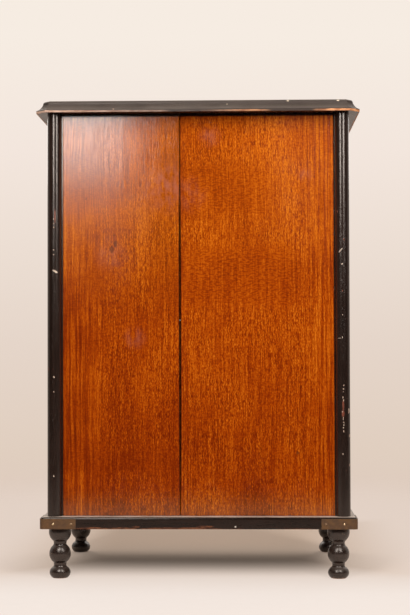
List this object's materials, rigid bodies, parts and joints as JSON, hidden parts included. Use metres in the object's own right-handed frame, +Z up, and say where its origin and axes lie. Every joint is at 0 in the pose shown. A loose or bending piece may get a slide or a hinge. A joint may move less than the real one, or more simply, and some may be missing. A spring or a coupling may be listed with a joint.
{
  "type": "table cabinet of drawers",
  "caption": "Small standing cabinet of shallow drawers between round black corner columns, under a moulded top, on turned feet; drawers slide out to hold small things.",
  "frame": {"origin": "on the floor, under the middle of the cabinet", "axes": "+Z up, -Y towards the drawer fronts, +X to the right seen from the front"},
  "size_m": [0.3254, 0.2356, 0.48],
  "materials": {
    "ebonised_wood": "black polish, worn to bare wood on edges",
    "oak": "old orange-brown varnish",
    "veneered_panel": "polished lozenge marquetry",
    "veneered_front": "polished lozenge marquetry",
    "case_wood": "plain planed wood, front edge blackened",
    "drawer_wood": "plain planed wood",
    "old_brass": "dark brown patina"
  },
  "bodies": {
    "cabinet": {"top_board": "ebonised_wood", "base_board": "ebonised_wood", "column_front_left": "ebonised_wood", "column_front_right": "ebonised_wood", "column_back_left": "ebonised_wood", "column_back_right": "ebonised_wood", "foot_front_left": "ebonised_wood", "foot_front_right": "ebonised_wood", "foot_back_left": "ebonised_wood", "foot_back_right": "ebonised_wood", "back_board_narrow": "oak", "back_board_wide": "oak", "side_panel_left": "veneered_panel", "side_panel_right": "veneered_panel", "partition_1": "case_wood", "partition_2": "case_wood", "partition_3": "case_wood", "partition_4": "case_wood", "partition_5": "case_wood", "drawer_stops": "case_wood", "corner_straps": "old_brass", "strap_pins": "old_brass"},
    "drawer_1": {"drawer_1_front": "veneered_front", "drawer_1_knobs": "old_brass", "drawer_1_side_left": "drawer_wood", "drawer_1_side_right": "drawer_wood", "drawer_1_back": "drawer_wood", "drawer_1_bottom": "drawer_wood"},
    "drawer_2": {"drawer_2_front": "veneered_front", "drawer_2_knobs": "old_brass", "drawer_2_side_left": "drawer_wood", "drawer_2_side_right": "drawer_wood", "drawer_2_back": "drawer_wood", "drawer_2_bottom": "drawer_wood"},
    "drawer_3": {"drawer_3_front": "veneered_front", "drawer_3_knobs": "old_brass", "drawer_3_side_left": "drawer_wood", "drawer_3_side_right": "drawer_wood", "drawer_3_back": "drawer_wood", "drawer_3_bottom": "drawer_wood"},
    "drawer_4": {"drawer_4_front": "veneered_front", "drawer_4_knobs": "old_brass", "drawer_4_side_left": "drawer_wood", "drawer_4_side_right": "drawer_wood", "drawer_4_back": "drawer_wood", "drawer_4_bottom": "drawer_wood"},
    "drawer_5": {"drawer_5_front": "veneered_front", "drawer_5_knobs": "old_brass", "drawer_5_side_left": "drawer_wood", "drawer_5_side_right": "drawer_wood", "drawer_5_back": "drawer_wood", "drawer_5_bottom": "drawer_wood"},
    "drawer_6": {"drawer_6_front": "veneered_front", "drawer_6_knobs": "old_brass", "drawer_6_side_left": "drawer_wood", "drawer_6_side_right": "drawer_wood", "drawer_6_back": "drawer_wood", "drawer_6_bottom": "drawer_wood"}
  },
  "joints": [
    {"name": "drawer_1_slide", "type": "slide", "parent": "cabinet", "child": "drawer_1", "axis": [0, -1, 0], "range_m": [0, 0.15]},
    {"name": "drawer_2_slide", "type": "slide", "parent": "cabinet", "child": "drawer_2", "axis": [0, -1, 0], "range_m": [0, 0.15]},
    {"name": "drawer_3_slide", "type": "slide", "parent": "cabinet", "child": "drawer_3", "axis": [0, -1, 0], "range_m": [0, 0.15]},
    {"name": "drawer_4_slide", "type": "slide", "parent": "cabinet", "child": "drawer_4", "axis": [0, -1, 0], "range_m": [0, 0.15]},
    {"name": "drawer_5_slide", "type": "slide", "parent": "cabinet", "child": "drawer_5", "axis": [0, -1, 0], "range_m": [0, 0.15]},
    {"name": "drawer_6_slide", "type": "slide", "parent": "cabinet", "child": "drawer_6", "axis": [0, -1, 0], "range_m": [0, 0.15]}
  ]
}
